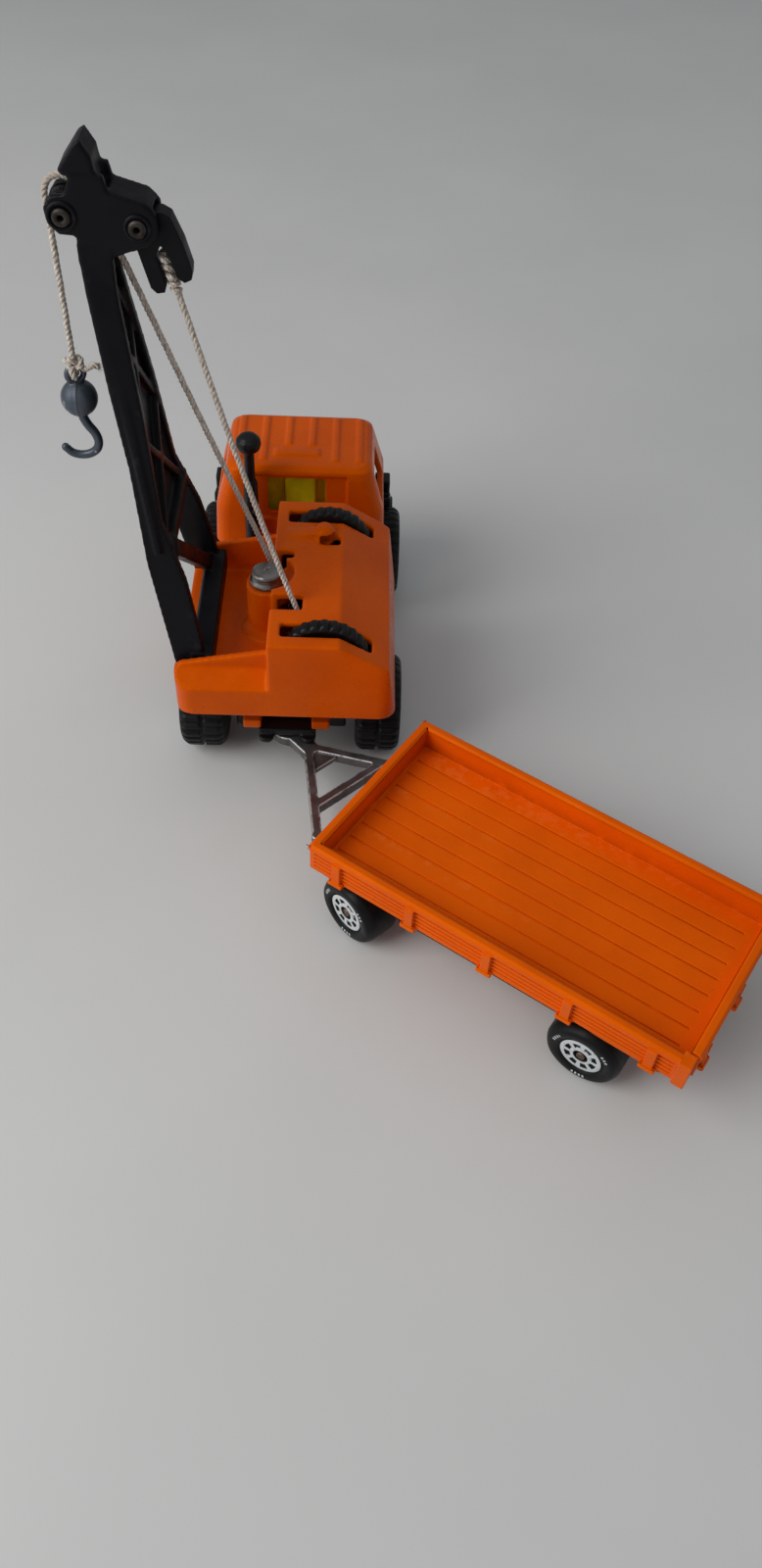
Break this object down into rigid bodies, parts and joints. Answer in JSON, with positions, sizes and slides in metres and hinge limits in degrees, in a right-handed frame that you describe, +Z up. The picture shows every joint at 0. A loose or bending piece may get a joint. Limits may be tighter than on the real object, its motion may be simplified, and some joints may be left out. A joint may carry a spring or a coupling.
{
  "type": "toy crane truck with trailer",
  "caption": "Die-cast toy mobile crane truck with slewing upper works, lattice jib, rope winches and hook, towing a drop-side drawbar trailer.",
  "frame": {"origin": "middle of the bottom of the whole object (truck, jib and trailer without the ropes), on the surface it stands on", "axes": "+Z up, +Y the way the truck drives; the upper works are slewed so that the jib stands over -X, and the trailer lies towards +X and -Y"},
  "size_m": [0.1426, 0.172, 0.1318],
  "materials": {
    "orange_paint": "gloss",
    "black_plastic": "satin",
    "tyre_black": "satin",
    "yellow_plastic": "gloss",
    "bright_steel": "satin",
    "bare_zinc": "tarnished",
    "hook_metal": "satin",
    "twine": "matt"
  },
  "bodies": {
    "chassis": {"chassis_frame": "orange_paint", "base_plate": "black_plastic", "cab_shell": "orange_paint", "cab_interior": "yellow_plastic", "intake_stack": "black_plastic"},
    "truck_front_axle": {"truck_front_axle_rod": "bright_steel", "truck_front_wheel_left": "tyre_black", "truck_front_wheel_right": "tyre_black"},
    "truck_rear_axle": {"truck_rear_axle_rod": "bright_steel", "truck_rear_wheel_left": "tyre_black", "truck_rear_wheel_right": "tyre_black"},
    "upper_works": {"upper_casting": "orange_paint", "upper_base": "black_plastic", "upper_rivet": "bright_steel", "winch_shaft": "bright_steel", "jib_hinge_pin": "bright_steel"},
    "luff_winch": {"luff_thumbwheel": "black_plastic"},
    "hoist_winch": {"hoist_thumbwheel": "black_plastic"},
    "jib": {"jib_frame": "black_plastic", "pulley_pin": "bright_steel", "link_pin": "bright_steel"},
    "pulley": {"head_pulley": "black_plastic"},
    "luff_line": {"luff_link": "black_plastic", "luff_rope": "twine"},
    "hoist_line": {"hoist_rope_run": "twine"},
    "hoist_fall": {"hoist_rope_fall": "twine"},
    "hook": {"load_hook": "hook_metal"},
    "drawbar": {"drawbar_bogie": "bare_zinc"},
    "trailer_front_axle": {"trailer_front_axle_rod": "bright_steel", "trailer_front_wheel_left": "tyre_black", "trailer_front_wheel_right": "tyre_black"},
    "trailer": {"trailer_bed": "orange_paint", "trailer_base": "black_plastic"},
    "trailer_rear_axle": {"trailer_rear_axle_rod": "bright_steel", "trailer_rear_wheel_left": "tyre_black", "trailer_rear_wheel_right": "tyre_black"},
    "tailgate": {"trailer_tailgate": "orange_paint"}
  },
  "joints": [
    {"name": "truck_rear_roll", "type": "hinge", "parent": "chassis", "child": "truck_rear_axle", "pos_m": [-0.02711, 0.01342, 0.0112], "axis": [1, 0, 0], "continuous": true},
    {"name": "truck_front_roll", "type": "hinge", "parent": "chassis", "child": "truck_front_axle", "pos_m": [-0.02711, 0.06872, 0.0112], "axis": [1, 0, 0], "continuous": true},
    {"name": "slew", "type": "hinge", "parent": "chassis", "child": "upper_works", "pos_m": [-0.02711, 0.02082, 0.023], "axis": [0, 0, 1], "continuous": true},
    {"name": "jib_luff", "type": "hinge", "parent": "upper_works", "child": "jib", "pos_m": [-0.04761, 0.02082, 0.0312], "axis": [0, -1, 0], "range_deg": [0, 40]},
    {"name": "luff_wheel_spin", "type": "hinge", "parent": "upper_works", "child": "luff_winch", "pos_m": [-0.01931, 0.02082, 0.036], "axis": [0, 1, 0], "range_deg": [-2, 262]},
    {"name": "hoist_wheel_spin", "type": "hinge", "parent": "upper_works", "child": "hoist_winch", "pos_m": [-0.01931, 0.02082, 0.036], "axis": [0, 1, 0], "range_deg": [-875, 325]},
    {"name": "pulley_spin", "type": "hinge", "parent": "jib", "child": "pulley", "pos_m": [-0.06361, 0.02082, 0.1198], "axis": [0, 1, 0], "range_deg": [-1050, 390]},
    {"name": "link_swing", "type": "hinge", "parent": "jib", "child": "luff_line", "pos_m": [-0.05121, 0.02082, 0.1183], "axis": [0, -1, 0], "range_deg": [-3.2, 0.5]},
    {"name": "hoist_line_swing", "type": "hinge", "parent": "jib", "child": "hoist_line", "pos_m": [-0.06361, 0.02082, 0.1198], "axis": [0, -1, 0], "range_deg": [-1.8, 0.5]},
    {"name": "hoist_fall_swing", "type": "hinge", "parent": "hoist_line", "child": "hoist_fall", "pos_m": [-0.06361, 0.02082, 0.1198], "axis": [0, -1, 0], "range_deg": [-39.5, 0.5]},
    {"name": "hook_hoist", "type": "slide", "parent": "hoist_fall", "child": "hook", "axis": [0, 0, 1], "range_m": [-0.0545, 0.0202], "deforming": ["hoist_rope_fall"]},
    {"name": "hitch_turn", "type": "hinge", "parent": "chassis", "child": "drawbar", "pos_m": [-0.02741, 0.00422, 0.01], "axis": [0, 0, 1], "range_deg": [-95, 15]},
    {"name": "bogie_turn", "type": "hinge", "parent": "drawbar", "child": "trailer", "pos_m": [0.00249, -0.02972, 0.0145], "axis": [0, 0, 1], "range_deg": [-38, 10]},
    {"name": "trailer_front_roll", "type": "hinge", "parent": "drawbar", "child": "trailer_front_axle", "pos_m": [0.00249, -0.02972, 0.0077], "axis": [0.7504, 0.6609, 0], "continuous": true},
    {"name": "trailer_rear_roll", "type": "hinge", "parent": "trailer", "child": "trailer_rear_axle", "pos_m": [0.04345, -0.0575, 0.0077], "axis": [0.5613, 0.8276, 0], "continuous": true},
    {"name": "tailgate_drop", "type": "hinge", "parent": "trailer", "child": "tailgate", "pos_m": [0.06001, -0.06873, 0.0179], "axis": [0.5613, 0.8276, 0], "range_deg": [0, 100]}
  ],
  "couplings": [
    {"joint": "luff_wheel_spin", "follows": "jib_luff", "ratio": 6.4},
    {"joint": "link_swing", "follows": "jib_luff", "ratio": -0.0625},
    {"joint": "hoist_line_swing", "follows": "jib_luff", "ratio": -0.0275},
    {"joint": "hoist_fall_swing", "follows": "jib_luff", "ratio": -0.9725},
    {"joint": "hoist_wheel_spin", "follows": "hook_hoist", "rad_per_m": 277.8},
    {"joint": "pulley_spin", "follows": "hook_hoist", "rad_per_m": 333.3}
  ]
}
